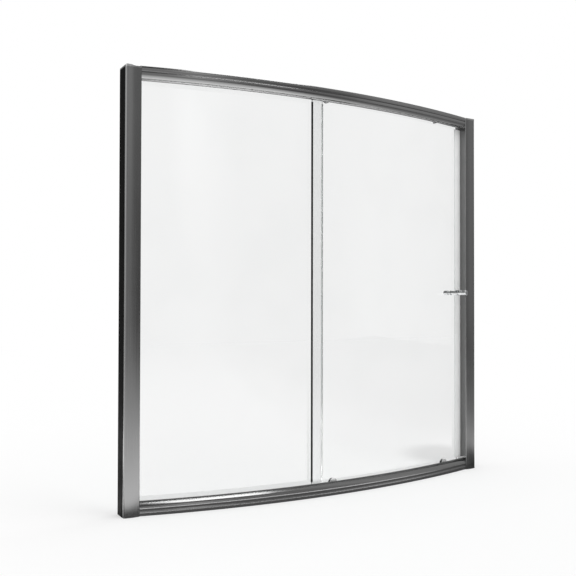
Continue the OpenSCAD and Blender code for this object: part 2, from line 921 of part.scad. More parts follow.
module inner_knob() {
    r = inner_knob_dia / 2;
    foot = 3;
    ball = 20;
    color(bright) knob_place() translate([0, inner_d + washer_t, 0])
        turned() difference() {
            union() {
                square([r, foot]);
                square([r * 0.45, inner_knob_len - ball / 2]);
                translate([0, inner_knob_len - ball]) difference() {
                    union() {
                        translate([0, 3]) square([r, ball - 6]);
                        square([r - 3, ball]);
                        translate([r - 3, 3]) circle(3);
                        translate([r - 3, ball - 3]) circle(3);
                    }
                }
            }
            translate([-1, -1]) square([stud_dia / 2 + 0.1 + 1, inner_knob_len / 2 + 1]);
            translate([-20, -1]) square([20, inner_knob_len + 2]);
        }
}

module knob_stud() {
    color(bright) knob_place()
        pin(stud_dia, slide_d - washer_t - flare_len * 0.8,
            inner_d + washer_t + inner_knob_len * 0.45);
}

module washer(od, id, y0) {
    difference() {
        pin(od, y0, y0 + washer_t);
        pin(id, y0 - 1, y0 + washer_t + 1);
    }
}

module knob_washers() {
    color(clear) knob_place() {
        washer(knob_hole_dia + 4, stud_dia + 0.4, slide_d - washer_t);
        washer(knob_hole_dia + 4, stud_dia + 0.4, inner_d);
    }
}

// Wheels and bearings, alike at the top and at the bottom

module wheel_place(a) { at_angle(a) translate([0, 0, wheel_z]) children(); }

module wheel() {
    wall = (wheel_w - rib_t) / 2 - run_gap;
    flange_r = wheel_dia / 2;
    color(nylon) translate([0, rib_d - wheel_w / 2, 0]) turned() difference() {
        translate([bearing_od / 2, 0]) square([flange_r - bearing_od / 2, wheel_w]);
        translate([groove_dia / 2, wall])
            square([flange_r, wheel_w - 2 * wall]);
    }
}

module bearing() {
    inner_r = axle_dia / 2 + axle_play;
    outer_r = bearing_od / 2;
    mid_r = (inner_r + outer_r) / 2;
    color(bright) translate([0, rib_d - wheel_w / 2, 0]) turned() difference() {
        translate([inner_r, 0.3]) square([outer_r - inner_r, wheel_w - 0.6]);
        translate([mid_r - 1, -1]) square([2, 1.8]);
        translate([mid_r - 1, wheel_w - 0.8]) square([2, 1.8]);
    }
}

module axle(back) {
    face = rib_d - wheel_w / 2;
    color(bright) {
        pin(axle_dia, face - head_t / 2 - tiny, back);
        pin(axle_dia + 2.6, face - head_t - 0.3, face - 0.3);
    }
}

module top_wheel_left() { from_top() wheel_place(top_roller_a[0]) wheel(); }
module top_wheel_right() { from_top() wheel_place(top_roller_a[1]) wheel(); }
module bottom_wheel_left() { wheel_place(bottom_roller_a[0]) wheel(); }
module bottom_wheel_right() { wheel_place(bottom_roller_a[1]) wheel(); }
module top_bearing_left() { from_top() wheel_place(top_roller_a[0]) bearing(); }
module top_bearing_right() { from_top() wheel_place(top_roller_a[1]) bearing(); }
module bottom_bearing_left() { wheel_place(bottom_roller_a[0]) bearing(); }
module bottom_bearing_right() { wheel_place(bottom_roller_a[1]) bearing(); }

// Top rollers: bracket outside the glass, eccentric bush in it, clamp inside

module bracket_plate(dia, z, y0, y1) {
    translate([0, 0, z]) pin(dia, y0, y1);
    translate([0, 0, wheel_z]) pin(bearing_od, y0, y1);
    translate([-bearing_od / 2, y0, wheel_z]) cube([bearing_od, y1 - y0, z - wheel_z]);
}

module top_bracket(a) {
    color(bright) from_top() at_angle(a) difference() {
        union() {
            bracket_plate(top_disc_dia, top_disc_z, plate_d, slide_d - washer_t);
            translate([0, 0, top_disc_z]) pin(boss_dia, slide_d - washer_t - tiny,
                slide_d + glass_t - 0.2);
        }
        translate([0, 0, wheel_z]) pin(axle_dia, plate_d - 1, slide_d);
        translate([0, 0, top_disc_z]) pin(stud_dia, slide_d, slide_d + glass_t + 1);
    }
}

module top_bracket_left() { top_bracket(top_roller_a[0]); }
module top_bracket_right() { top_bracket(top_roller_a[1]); }

module at_top_rollers() {
    for (a = top_roller_a) from_top() at_angle(a) children();
}

module top_axles() {
    at_top_rollers() translate([0, 0, wheel_z]) axle(slide_d - washer_t);
}

module eccentric_bushes() {
    color(nylon) at_top_rollers() difference() {
        translate([0, 0, top_disc_z]) pin(top_hole_dia - 0.2, slide_d, slide_d + glass_t);
        translate([0, 0, top_disc_z])
            pin(boss_dia + 0.1, slide_d - 1, slide_d + glass_t + 1);
    }
}

module top_clamps() {
    y0 = inner_d + washer_t;
    color(bright) at_top_rollers() translate([0, 0, top_disc_z]) difference() {
        union() {
            pin(top_disc_dia, y0, y0 + clamp_t - 1);
            pin(top_disc_dia - 2, y0, y0 + clamp_t);
        }
        pin(stud_dia + 0.4, y0 - 1, y0 + clamp_t + 1);
        pin(head_dia + 3.4, y0 + 2, y0 + clamp_t + 1);
    }
}

module clamp_bolts() {
    seat = inner_d + washer_t + 2;
    color(bright) at_top_rollers() translate([0, 0, top_disc_z]) difference() {
        union() {
            pin(stud_dia - 0.1, slide_d + 0.1, seat + tiny);
            pin(head_dia + 3, seat, seat + clamp_t - 2.2);
        }
        pin(4, seat + 1, seat + clamp_t, $fn = 6);
    }
}

module roller_washers() {
    color(clear) {
        at_top_rollers() translate([0, 0, top_disc_z]) {
            washer(top_disc_dia - 4, boss_dia + 0.2, slide_d - washer_t);
            washer(top_disc_dia - 4, boss_dia + 0.2, inner_d);
        }
        for (a = bottom_roller_a) at_angle(a) translate([0, 0, guide_z])
            washer(disc_dia - 4, bottom_hole_dia, inner_d);
    }
}

// Bottom rollers: a housing in the glass guides a sprung carriage

ring_t = 0.9;
carriage_back = slide_d - ring_t - 0.2;

module stem_slot(y0, y1) {
    slot(stem_dia + 2 * stem_clear, slot_low + stem_dia / 2 + stem_clear,
        slot_top - stem_dia / 2 - stem_clear, y0, y1);
}

module guide_housing(a) {
    y0 = inner_d + washer_t;
    color(dark) at_angle(a) difference() {
        union() {
            translate([0, 0, guide_z]) pin(bottom_hole_dia - 0.3, slide_d, y0 + tiny);
            translate([0, 0, guide_z]) pin(disc_dia, y0, housing_back - 1);
            translate([0, 0, guide_z]) pin(disc_dia - 2, y0, housing_back);
        }
        stem_slot(slide_d - 1, housing_back + 1);
        translate([0, spring_y, spring_floor])
            cylinder(d = spring_dia + 0.5, h = guide_z - spring_floor);
    }
}

module guide_housing_left() { guide_housing(bottom_roller_a[0]); }
module guide_housing_right() { guide_housing(bottom_roller_a[1]); }

module lock_rings() {
    color(dark) for (a = bottom_roller_a) at_angle(a) difference() {
        translate([0, 0, guide_z]) pin(bottom_hole_dia + 4, slide_d - ring_t, slide_d);
        stem_slot(slide_d - 2, slide_d + 1);
    }
}

module carriage(a) {
    color(bright) at_angle(a) difference() {
        union() {
            bracket_plate(disc_dia, disc_z, plate_d, carriage_back);
            translate([0, 0, disc_z]) pin(stem_dia, carriage_back - tiny, stem_end);
        }
        translate([0, 0, wheel_z]) pin(axle_dia, plate_d - 1, carriage_back + 1);
    }
}

module carriage_left() { carriage(bottom_roller_a[0]); }
module carriage_right() { carriage(bottom_roller_a[1]); }

module release_button(a) {
    color(rubber) at_angle(a) translate([0, 0, disc_z]) {
        pin(stem_dia + 3, stem_end, stem_end + button_t);
        translate([-button_w / 2, stem_end, -2]) cube([button_w, button_t, 4]);
    }
}

module release_button_left() { release_button(bottom_roller_a[0]); }
module release_button_right() { release_button(bottom_roller_a[1]); }

module bottom_axle(a) { wheel_place(a) axle(carriage_back); }
module bottom_axle_left() { bottom_axle(bottom_roller_a[0]); }
module bottom_axle_right() { bottom_axle(bottom_roller_a[1]); }

// A helical wire, one unbroken tube
module coil(mean_r, wire_r, height, turns, steps = 12, sides = 6) {
    n = turns * steps;
    rise = height - 2 * wire_r;
    points = [for (i = [0:n], k = [0:sides - 1])
        let (a = 360 * i / steps, b = 360 * k / sides, r = mean_r + wire_r * cos(b))
        [r * cos(a), r * sin(a), wire_r + rise * i / n + wire_r * sin(b)]];
    skin = [for (i = [0:n - 1], k = [0:sides - 1])
        let (p = i * sides + k, q = i * sides + (k + 1) % sides)
        each [[p, q, q + sides], [p, q + sides, p + sides]]];
    start = [for (k = [1:sides - 2]) [0, k + 1, k]];
    end = [for (k = [1:sides - 2]) [n * sides, n * sides + k, n * sides + k + 1]];
    polyhedron(points, concat(skin, start, end));
}

module return_spring(a) {
    low = spring_floor + 0.1;
    high = disc_z - stem_dia / 2 - 0.1;
    color(bright) at_angle(a) translate([0, spring_y, low])
        coil(spring_dia / 2 - wire_dia / 2, wire_dia / 2, high - low, spring_turns);
}

module return_spring_left() { return_spring(bottom_roller_a[0]); }
module return_spring_right() { return_spring(bottom_roller_a[1]); }

wall_channel_left();
wall_channel_right();
jamb_post_left();
jamb_post_right();
jamb_cap_left();
jamb_cap_right();
header_rail();
bottom_track();
splash_strip();
fixed_glass();
gasket_bottom();
gasket_top();
gasket_side();
strike_profile();
strike_magnet();
end_blocks();
corner_screws();
rail_screws();
stop_bumpers();
jamb_screws();
jamb_screw_caps();
sliding_glass();
closing_seal();
closing_magnet();
meeting_trim();
overlap_fin();
outer_knob();
inner_knob();
knob_stud();
knob_washers();
top_bracket_left();
top_bracket_right();
top_axles();
eccentric_bushes();
top_clamps();
clamp_bolts();
roller_washers();
guide_housing_left();
guide_housing_right();
lock_rings();
top_wheel_left();
top_wheel_right();
top_bearing_left();
top_bearing_right();
carriage_left();
carriage_right();
release_button_left();
release_button_right();
bottom_axle_left();
bottom_axle_right();
bottom_wheel_left();
bottom_wheel_right();
bottom_bearing_left();
bottom_bearing_right();
return_spring_left();
return_spring_right();
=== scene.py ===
import json
import math

import bmesh
import bpy
from mathutils import Matrix, Vector


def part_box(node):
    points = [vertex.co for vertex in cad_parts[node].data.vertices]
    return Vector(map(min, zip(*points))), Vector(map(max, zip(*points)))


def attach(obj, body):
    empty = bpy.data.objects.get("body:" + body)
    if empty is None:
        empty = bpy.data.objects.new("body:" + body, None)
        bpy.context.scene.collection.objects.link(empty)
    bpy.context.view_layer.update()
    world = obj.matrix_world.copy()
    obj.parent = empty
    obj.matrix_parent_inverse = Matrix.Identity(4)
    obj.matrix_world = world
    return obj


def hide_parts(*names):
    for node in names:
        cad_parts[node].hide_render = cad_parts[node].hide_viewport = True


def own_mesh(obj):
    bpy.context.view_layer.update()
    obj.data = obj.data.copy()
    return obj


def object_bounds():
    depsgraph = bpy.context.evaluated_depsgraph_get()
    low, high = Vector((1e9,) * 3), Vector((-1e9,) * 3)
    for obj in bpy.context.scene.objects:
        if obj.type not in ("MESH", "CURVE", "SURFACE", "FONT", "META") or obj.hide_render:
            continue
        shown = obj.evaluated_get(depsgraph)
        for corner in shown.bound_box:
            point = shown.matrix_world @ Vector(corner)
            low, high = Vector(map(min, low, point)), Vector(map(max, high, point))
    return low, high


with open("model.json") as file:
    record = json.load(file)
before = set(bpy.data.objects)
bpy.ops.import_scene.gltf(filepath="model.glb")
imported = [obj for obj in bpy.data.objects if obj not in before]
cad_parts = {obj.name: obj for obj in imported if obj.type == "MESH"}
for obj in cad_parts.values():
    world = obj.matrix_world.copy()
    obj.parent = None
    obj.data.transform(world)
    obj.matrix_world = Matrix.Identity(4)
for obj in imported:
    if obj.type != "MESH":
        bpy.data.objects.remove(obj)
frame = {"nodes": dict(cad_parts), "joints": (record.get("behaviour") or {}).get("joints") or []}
cad_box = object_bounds()
nodes = frame["nodes"]
joints = {joint["name"]: joint for joint in frame["joints"]}

# Camera, where the photograph was taken from
camera_place = Vector((-1.5499, -2.3559, 0.704))
camera_yaw = 0.525
camera_pitch = 0.016
camera_roll = 0.002
camera_lens_mm = 48.04
sensor_mm = 36.0


def make_camera():
    """The camera at that place, turned by its yaw, pitch and roll."""
    ahead = Vector((
        math.sin(camera_yaw) * math.cos(camera_pitch),
        math.cos(camera_yaw) * math.cos(camera_pitch),
        math.sin(camera_pitch),
    ))
    level = Vector((math.cos(camera_yaw), -math.sin(camera_yaw), 0.0))
    above = level.cross(ahead)
    right = level * math.cos(camera_roll) + above * math.sin(camera_roll)
    up = above * math.cos(camera_roll) - level * math.sin(camera_roll)
    data = bpy.data.cameras.new("camera")
    data.lens = camera_lens_mm
    data.sensor_width = sensor_mm
    camera = bpy.data.objects.new("camera", data)
    bpy.context.scene.collection.objects.link(camera)
    turn = Matrix((right, up, -ahead)).transposed().to_4x4()
    camera.matrix_world = Matrix.Translation(camera_place) @ turn
    bpy.context.scene.camera = camera


# Small helpers for node trees


def add_node(tree, kind, **settings):
    node = tree.nodes.new(kind)
    for name, value in settings.items():
        setattr(node, name, value)
    return node


def feed(tree, source, target):
    """Links an output to an input, or sets the input to a plain value."""
    if isinstance(source, bpy.types.NodeSocket):
        tree.links.new(source, target)
    else:
        target.default_value = source


def calc(tree, operation, *values):
    """The result of one operation."""
    node = add_node(tree, "ShaderNodeMath", operation=operation)
    for value, target in zip(values, node.inputs):
        feed(tree, value, target)
    return node.outputs[0]


def spread(tree, value, low, high, to_low=0.0, to_high=1.0):
    """Value from low to high becomes to_low to to_high, with soft ends."""
    node = add_node(tree, "ShaderNodeMapRange", interpolation_type="SMOOTHSTEP")
    for source, target in zip((value, low, high, to_low, to_high), node.inputs):
        feed(tree, source, target)
    return node.outputs[0]


def blend_colors(tree, share, first, second):
    node = add_node(tree, "ShaderNodeMix", data_type="RGBA")
    feed(tree, share, node.inputs["Factor"])
    feed(tree, first, node.inputs["A"])
    feed(tree, second, node.inputs["B"])
    return node.outputs["Result"]


def split_place(tree, place):
    """The X, Y and Z of a place."""
    split = add_node(tree, "ShaderNodeSeparateXYZ")
    feed(tree, place, split.inputs[0])
    return split.outputs


def add_square(tree, value, middle):
    """The square of a value's distance from a middle."""
    return calc(tree, "POWER", calc(tree, "SUBTRACT", value, middle), 2.0)


def add_distance(tree, x, y, middle_x, middle_y):
    """The distance from an upright line."""
    square_sum = calc(tree, "ADD", add_square(tree, x, middle_x), add_square(tree, y, middle_y))
    return calc(tree, "SQRT", square_sum)


def add_noise(tree, place, scale, detail, roughness=0.5):
    """A cloudy pattern between 0 and 1."""
    noise = add_node(tree, "ShaderNodeTexNoise", noise_dimensions="3D")
    settings = {"Vector": place, "Scale": scale, "Detail": detail, "Roughness": roughness}
    for label, value in settings.items():
        feed(tree, value, noise.inputs[label])
    return noise.outputs["Fac"]


def grey(level):
    return (level, level, level, 1.0)


def new_group(name, inputs, outputs):
    """An empty shader group with named sockets, and its input and output nodes."""
    group = bpy.data.node_groups.new(name, "ShaderNodeTree")
    for direction, sockets in (("INPUT", inputs), ("OUTPUT", outputs)):
        for label, kind in sockets:
            group.interface.new_socket(label, in_out=direction, socket_type=kind)
    return group, group.nodes.new("NodeGroupInput"), group.nodes.new("NodeGroupOutput")


def place_group(tree, group, **values):
    node = add_node(tree, "ShaderNodeGroup", node_tree=group)
    for label, value in values.items():
        feed(tree, value, node.inputs[label])
    return node


# Shared effects

FLOAT = "NodeSocketFloat"
VECTOR = "NodeSocketVector"

arc_centre_y = joints["door_slide"]["pos_m"][1]
rail_depth = 0.056
rail_radius = arc_centre_y + rail_depth / 2

# Lines of drawn metal, long along the drawing and fine across it, over broad patches
lines_along = 3.0
lines_across = 1400.0
streak_detail = 3.0
streak_roughness = 0.6
patch_scale = 9.0
patch_detail = 4.0

# Fine grain, and marks where a broad pattern is high
speckle_detail = 2.0
mark_detail = 5.0
mark_start = 0.42
mark_full = 0.68


def make_grain_group():
    """Fine lines left by drawing the metal: along Z at Bow 0, along the rails at Bow 1."""
    group, enter, leave = new_group(
        "drawn_grain",
        [("Vector", VECTOR), ("Bow", FLOAT)],
        [("Streak", FLOAT), ("Patch", FLOAT)],
    )
    place = enter.outputs["Vector"]
    x, y, z = split_place(group, place)
    turned = calc(group, "ARCTAN2", x, calc(group, "SUBTRACT", arc_centre_y, y))
    along_bow = calc(group, "MULTIPLY", turned, rail_radius)
    depth = calc(group, "SUBTRACT", rail_radius, add_distance(group, x, y, 0.0, arc_centre_y))
    bow = enter.outputs["Bow"]
    straight = calc(group, "SUBTRACT", 1.0, bow)

    def either(on_bow, on_straight):
        return calc(
            group, "ADD",
            calc(group, "MULTIPLY", on_bow, bow),
            calc(group, "MULTIPLY", on_straight, straight),
        )

    lines = add_node(group, "ShaderNodeCombineXYZ")
    feed(group, calc(group, "MULTIPLY", either(along_bow, z), lines_along), lines.inputs[0])
    feed(group, calc(group, "MULTIPLY", either(depth, x), lines_across), lines.inputs[1])
    feed(group, calc(group, "MULTIPLY", either(z, y), lines_across), lines.inputs[2])
    streaks = add_noise(group, lines.outputs[0], 1.0, streak_detail, streak_roughness)
    feed(group, streaks, leave.inputs["Streak"])
    feed(group, add_noise(group, place, patch_scale, patch_detail), leave.inputs["Patch"])
    return group


def make_speckle_group():
    """Fine moulded or etched grain, and the soft marks of handling."""
    group, enter, leave = new_group(
        "surface_speckle",
        [("Vector", VECTOR), ("Grain", FLOAT), ("Marks", FLOAT)],
        [("Height", FLOAT), ("Mark", FLOAT)],
    )
    place = enter.outputs["Vector"]
    marks = add_noise(group, place, enter.outputs["Marks"], mark_detail)
    feed(group, add_noise(group, place, enter.outputs["Grain"], speckle_detail), leave.inputs["Height"])
    feed(group, spread(group, marks, mark_start, mark_full), leave.inputs["Mark"])
    return group


drawn_grain = make_grain_group()
surface_speckle = make_speckle_group()


def new_material(name, **settings):
    """A material with one Principled shader, and the place on the piece that its patterns read."""
    material = bpy.data.materials.new(name)
    material.use_nodes = True
    tree = material.node_tree
    shader = tree.nodes["Principled BSDF"]
    for label, value in settings.items():
        shader.inputs[label.replace("_", " ")].default_value = value
    place = add_node(tree, "ShaderNodeTexCoord").outputs["Object"]
    return material, tree, shader, place


def add_bump(tree, shader, height, strength, distance):
    bump = add_node(tree, "ShaderNodeBump")
    bump.inputs["Strength"].default_value = strength
    bump.inputs["Distance"].default_value = distance
    feed(tree, height, bump.inputs["Height"])
    feed(tree, bump.outputs["Normal"], shader.inputs["Normal"])


def make_anodised(name, bow, dark, light, smooth, rough):
    """Dark anodised aluminium, drawn along its length."""
    material, tree, shader, place = new_material(name, Metallic=1.0, IOR=1.5, Coat_Weight=0.25,
                                                 Coat_Roughness=0.12)
    streak_share = 0.7
    tone_low = 0.3
    tone_high = 0.7
    grain = place_group(tree, drawn_grain, Vector=place, Bow=bow)
    streak = grain.outputs["Streak"]
    tone = calc(tree, "ADD", calc(tree, "MULTIPLY", streak, streak_share),
                calc(tree, "MULTIPLY", grain.outputs["Patch"], 1 - streak_share))
    color = blend_colors(tree, spread(tree, tone, tone_low, tone_high), dark, light)
    feed(tree, color, shader.inputs["Base Color"])
    feed(tree, spread(tree, tone, tone_low, tone_high, smooth, rough), shader.inputs["Roughness"])
    add_bump(tree, shader, streak, strength=0.12, distance=0.0002)
    return material


def make_polished(name, color, smooth, rough):
    """Plated metal with a faint haze of wiping marks."""
    material, tree, shader, place = new_material(name, Metallic=1.0, Base_Color=color)
    marks = place_group(tree, surface_speckle, Vector=place, Grain=500.0, Marks=60.0)
    feed(tree, spread(tree, marks.outputs["Mark"], 0.0, 1.0, smooth, rough), shader.inputs["Roughness"])
    add_bump(tree, shader, marks.outputs["Height"], strength=0.03, distance=0.0001)
    return material


def make_moulded(name, dark, light, smooth, rough, grain, bump, **settings):
    """Moulded plastic or rubber with a fine grain and a slight change of tone."""
    material, tree, shader, place = new_material(name, **settings)
    marks = place_group(tree, surface_speckle, Vector=place, Grain=grain, Marks=30.0)
    feed(tree, blend_colors(tree, marks.outputs["Mark"], dark, light), shader.inputs["Base Color"])
    feed(tree, spread(tree, marks.outputs["Mark"], 0.0, 1.0, smooth, rough), shader.inputs["Roughness"])
    add_bump(tree, shader, marks.outputs["Height"], strength=bump, distance=0.0003)
    return material


def let_light_through(tree, shader, tint):
    """Lamps and the room's soft light reach what is behind a clear piece."""
    path = add_node(tree, "ShaderNodeLightPath")
    open_light = calc(tree, "MAXIMUM", path.outputs["Is Shadow Ray"], path.outputs["Is Diffuse Ray"])
    passing = add_node(tree, "ShaderNodeBsdfTransparent")
    passing.inputs["Color"].default_value = tint
    mix = add_node(tree, "ShaderNodeMixShader")
    feed(tree, open_light, mix.inputs[0])
    feed(tree, shader.outputs[0], mix.inputs[1])
    feed(tree, passing.outputs[0], mix.inputs[2])
    feed(tree, mix.outputs[0], tree.nodes["Material Output"].inputs["Surface"])


def make_glass(name):
    """Clear float glass, a little darker towards the lower rail, which is painted shade in its tint."""
    material, tree, shader, place = new_material(name, Transmission_Weight=1.0, IOR=1.5, Roughness=0.0)
    marks = place_group(tree, surface_speckle, Vector=place, Grain=220.0, Marks=5.0)
    clean = (0.922, 0.926, 0.925, 1.0)
    hazy = (0.908, 0.913, 0.912, 1.0)
    # Painted shade: the glass tint grows darker from half its height down to the lower rail.
    painted_shade_tint = (0.85, 0.852, 0.852, 1.0)
    shade_top_z = 0.5
    shade_full_z = 0.02
    z = split_place(tree, place)["Z"]
    tint = blend_colors(tree, marks.outputs["Mark"], clean, hazy)
    tint = blend_colors(tree, spread(tree, z, shade_top_z, shade_full_z), tint, painted_shade_tint)
    feed(tree, tint, shader.inputs["Base Color"])
    let_light_through(tree, shader, tint=(0.93, 0.95, 0.945, 1.0))
    return material


def make_vinyl_seal(name, clearness):
    """Extruded vinyl: clear, or a solid milky white at no clearness."""
    material, tree, shader, place = new_material(name, Transmission_Weight=clearness, IOR=1.46)
    marks = place_group(tree, surface_speckle, Vector=place, Grain=400.0, Marks=20.0)
    clear = (0.975, 0.98, 0.978, 1.0)
    milky = (0.93, 0.938, 0.935, 1.0)
    smooth = 0.1
    rough = 0.22
    feed(tree, blend_colors(tree, marks.outputs["Mark"], clear, milky), shader.inputs["Base Color"])
    feed(tree, spread(tree, marks.outputs["Mark"], 0.0, 1.0, smooth, rough), shader.inputs["Roughness"])
    let_light_through(tree, shader, tint=(0.94, 0.95, 0.945, 1.0))
    return material


def dress(material, *names):
    for name in names:
        mesh = nodes[name].data
        mesh.materials.clear()
        mesh.materials.append(material)


def both(name):
    return name + "_left", name + "_right"


# Metals, and the black of the wall channels, kept without sheen as painted shade on the jambs' wall
# side
# One anodised finish in two tones: the rails' lighter tone and the jambs' darker one are set to how
# bright each part looks under the light, painted light and shade.
jamb_metal = make_anodised("jamb_metal", bow=0.0, dark=grey(0.19), light=grey(0.22),
                           smooth=0.2, rough=0.28)
rail_metal = make_anodised("rail_metal", bow=1.0, dark=grey(0.25), light=grey(0.29),
                           smooth=0.12, rough=0.18)
# The caps use the jambs' anodised finish made lighter: a painted highlight along the caps.
cap_metal = make_anodised("cap_metal", bow=0.0, dark=grey(0.4), light=grey(0.46),
                          smooth=0.2, rough=0.28)
# Wall channels: black anodised, with the sheen taken away so that they also paint in the shade on the
# jambs' wall side.
channel_black_and_shade = make_moulded("channel_black_and_shade", dark=grey(0.006), light=grey(0.01), smooth=0.5,
                             rough=0.6, grain=600.0, bump=0.1, Specular_IOR_Level=0.02)
chrome = make_polished("polished_chrome", color=(0.55, 0.556, 0.56, 1.0), smooth=0.03, rough=0.08)
satin_silver = make_moulded("satin_silver", dark=grey(0.8), light=grey(0.86), smooth=0.3,
                            rough=0.4, grain=700.0, bump=0.04, Metallic=0.3)
steel = make_polished("stainless_steel", color=(0.52, 0.52, 0.53, 1.0), smooth=0.2, rough=0.32)

# Glass, vinyl, nylon, rubber and magnets
glass = make_glass("clear_glass")
clear_vinyl = make_vinyl_seal("clear_vinyl", clearness=0.9)
milky_vinyl = make_vinyl_seal("milky_vinyl", clearness=0.0)
white_vinyl = make_moulded("white_vinyl", dark=grey(0.9), light=grey(0.94), smooth=0.3,
                           rough=0.4, grain=500.0, bump=0.05)
white_nylon = make_moulded("white_nylon", dark=grey(0.72), light=grey(0.8), smooth=0.4,
                           rough=0.5, grain=700.0, bump=0.08)
black_nylon = make_moulded("black_nylon", dark=grey(0.012), light=grey(0.022), smooth=0.35,
                           rough=0.48, grain=900.0, bump=0.12)
black_rubber = make_moulded("black_rubber", dark=grey(0.01), light=grey(0.018), smooth=0.65,
                            rough=0.8, grain=1100.0, bump=0.15, Specular_IOR_Level=0.15)
grey_rubber = make_moulded("grey_rubber", dark=grey(0.11), light=grey(0.14), smooth=0.6,
                           rough=0.75, grain=1100.0, bump=0.15, Specular_IOR_Level=0.2)
grey_magnet = make_moulded("grey_magnet", dark=grey(0.08), light=grey(0.12), smooth=0.55,
                           rough=0.7, grain=800.0, bump=0.1)

dress(jamb_metal, *both("jamb_post"))
dress(rail_metal, "header_rail", "bottom_track")
dress(channel_black_and_shade, *both("wall_channel"))
dress(cap_metal, *both("jamb_cap"), "jamb_screw_caps")
dress(chrome, "outer_knob", "inner_knob", "top_clamps")
dress(satin_silver, *both("carriage"), *both("top_bracket"))
dress(steel, "corner_screws", "rail_screws", "jamb_screws", "knob_stud", "top_axles", "clamp_bolts",
      *both("top_bearing"), *both("bottom_bearing"), *both("bottom_axle"), *both("return_spring"))
dress(glass, "fixed_glass", "sliding_glass")
dress(clear_vinyl, "overlap_fin", "knob_washers")
dress(milky_vinyl, "closing_seal")
dress(white_vinyl, "strike_profile", "closing_magnet")
dress(white_nylon, "end_blocks", "eccentric_bushes", *both("top_wheel"), *both("bottom_wheel"))
dress(black_nylon, *both("guide_housing"), "lock_rings", *both("release_button"))
dress(black_rubber, "meeting_trim", "gasket_bottom", "gasket_top", "gasket_side", "stop_bumpers",
      "roller_washers")
# The splash strip's dark rubber also stands for the shadow gap behind the track's shelf: partly painted
# shade.
dress(grey_rubber, "splash_strip")
dress(grey_magnet, "strike_magnet")


# Pieces made here

weld_distance = 1e-6


def finish_piece(name, mesh_source, material, body):
    """Turns a bmesh into a smooth piece that rides on a body."""
    bmesh.ops.remove_doubles(mesh_source, verts=mesh_source.verts, dist=weld_distance)
    bmesh.ops.recalc_face_normals(mesh_source, faces=mesh_source.faces)
    mesh = bpy.data.meshes.new(name)
    mesh_source.to_mesh(mesh)
    mesh_source.free()
    for face in mesh.polygons:
        face.use_smooth = True
    mesh.materials.append(material)
    piece = bpy.data.objects.new(name, mesh)
    bpy.context.scene.collection.objects.link(piece)
    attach(piece, body)
    return piece


# Return springs, wound round the whole height of their solids
spring_wire = 0.0006
spring_turns = 5
steps_a_turn = 28
wire_sides = 10


def make_spring(side):
    """One wound wire in place of the solid spring."""
    node = "return_spring_" + side
    low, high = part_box(node)
    centre = (low + high) / 2
    coil_radius = (high.x - low.x) / 2 - spring_wire / 2
    rise = high.z - low.z - spring_wire
    coil = bmesh.new()
    start = Vector((centre.x + coil_radius, centre.y, low.z + spring_wire / 2))
    upright = Matrix.Rotation(math.radians(90), 4, "X")
    ring = bmesh.ops.create_circle(coil, cap_ends=False, radius=spring_wire / 2, segments=wire_sides,
                                   matrix=Matrix.Translation(start) @ upright)
    edges = list({edge for vert in ring["verts"] for edge in vert.link_edges})
    steps = spring_turns * steps_a_turn
    bmesh.ops.spin(coil, geom=ring["verts"] + edges, cent=Vector((centre.x, centre.y, 0.0)),
                   axis=Vector((0, 0, 1)), dvec=Vector((0, 0, rise / steps)),
                   angle=math.tau * spring_turns, steps=steps, use_merge=False)
    bmesh.ops.holes_fill(coil, edges=[edge for edge in coil.edges if edge.is_boundary], sides=0)
    piece = finish_piece("spring_coil_" + side, coil, steel, "door")
    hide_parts(node)
    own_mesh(piece)


for side in ("left", "right"):
    make_spring(side)

# Bearing balls, in the ring groove of each bearing, halfway between its bore and its rim
ball_radius = 0.0011
ball_count = 9
ball_segments = 14
ball_rings = 8
ball_sink = 0.0008
bearing_width = 0.005
bearing_bore = 0.0041
bearing_rim = 0.013


def make_balls(row, side):
    """Balls on both faces of one bearing, round its axle."""
    joint = joints[row + "_roller_spin_" + side]
    place = Vector(joint["pos_m"])
    axis = Vector(joint["axis"]).normalized()
    across = axis.cross(Vector((0, 0, 1)))
    circle_radius = (bearing_bore + bearing_rim) / 4
    balls = bmesh.new()
    for face in (-1, 1):
        for index in range(ball_count):
            angle = math.tau * index / ball_count
            out = across * math.cos(angle) + Vector((0, 0, 1)) * math.sin(angle)
            spot = place + out * circle_radius + axis * face * (bearing_width / 2 - ball_sink)
            bmesh.ops.create_uvsphere(balls, u_segments=ball_segments, v_segments=ball_rings,
                                      radius=ball_radius, matrix=Matrix.Translation(spot))
    finish_piece("bearing_balls_" + row + "_" + side, balls, chrome, row + "_roller_" + side)


for row in ("top", "bottom"):
    for side in ("left", "right"):
        make_balls(row, side)

# Floor, lamp and the room's light

floor_half = 9.0
floor_drop = 0.0003
floor_tone = 0.5
floor_bounce = 0.38
room_light = 0.75
lamp_place = Vector((0.37, -0.9, 3.4))
lamp_width = 1.5
lamp_length = 3.0
lamp_glow = 3.6
lamp_parts = 3

# The brightest level in the lists of levels below
tone_peak = 2.5

# How bright the floor is in the mirror of metal, by the place along X: in front of the door and
# behind it
front_floor = [(-9, 2.4), (0.4, 2.4), (0.65, 2.0), (1.1, 1.7), (1.6, 1.15), (2.2, 0.85), (9, 0.85)]
back_floor = [(-9, 2.4), (0.5, 2.2), (1.2, 1.6), (1.6, 1.4), (9, 1.2)]

# In a mirror, the front floor is dark next to the rails' outer faces, a painted contact shadow; it
# brightens with the distance from them, falls off farther away, and ends along Y behind the door
front_start = 0.07
front_full = 0.19
front_least = 0.1
front_fall = 0.45
front_last = 0.5
front_end = 1.2

# The floor behind the door brightens along Y, and falls to a low level farther back
back_full = 0.25
back_last = 1.2
back_end = 2.2
back_least = 0.13

# Painted shade in the floor's glow as mirrors show it, in dark spots: centre, radius of the dark,
# radius where it ends, and its level
dark_spots = [
    (0.93, -0.14, 0.1, 0.3, 0.1),
    (0.46, 0.55, 0.12, 0.3, 0.35),
    (-0.62, 0.7, 0.25, 0.5, 0.15),
]


